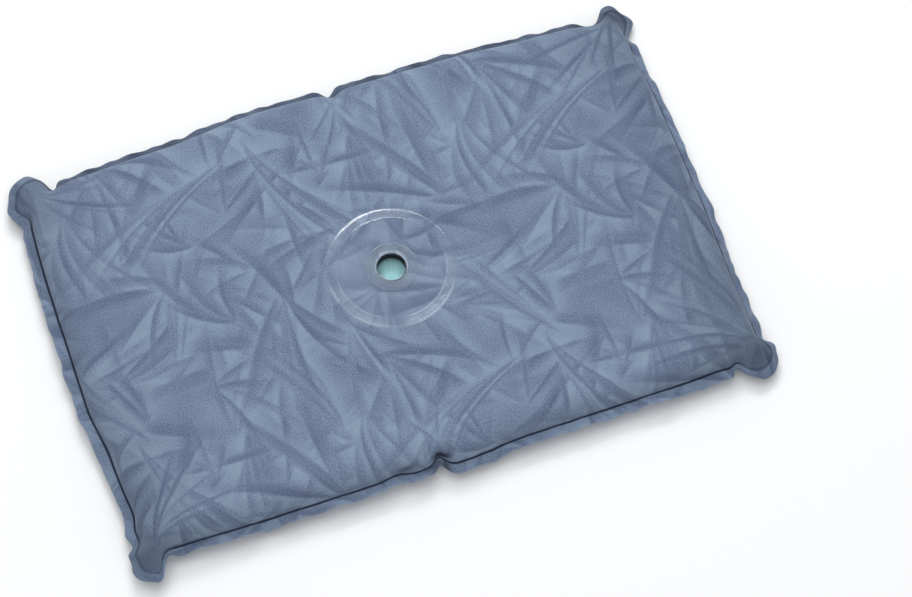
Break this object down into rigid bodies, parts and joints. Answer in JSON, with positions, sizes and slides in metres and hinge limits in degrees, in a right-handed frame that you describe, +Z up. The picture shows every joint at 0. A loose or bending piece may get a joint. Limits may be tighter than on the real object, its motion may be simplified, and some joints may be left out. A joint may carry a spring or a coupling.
{
  "type": "camp pillow",
  "caption": "Flat rectangular camp pillow: two sheets welded together with a narrow edge flange and rounded corner ears, a foam core inside, and a clear round fill port in the upper face.",
  "frame": {"origin": "middle of the underside, on the surface the pillow lies on", "axes": "+X along the long side, +Y along the short side, +Z up through the fill port"},
  "size_m": [0.58, 0.378, 0.0407],
  "materials": {
    "skin": "flocked, suede feel, crushed texture",
    "foam": "open-cell foam, matte",
    "clear_vinyl": "clear, glossy, flexible"
  },
  "bodies": {
    "root": {"top_skin": "skin", "bottom_skin": "skin", "foam_core": "foam", "port_patch": "clear_vinyl", "port_fitting": "clear_vinyl"}
  },
  "joints": []
}
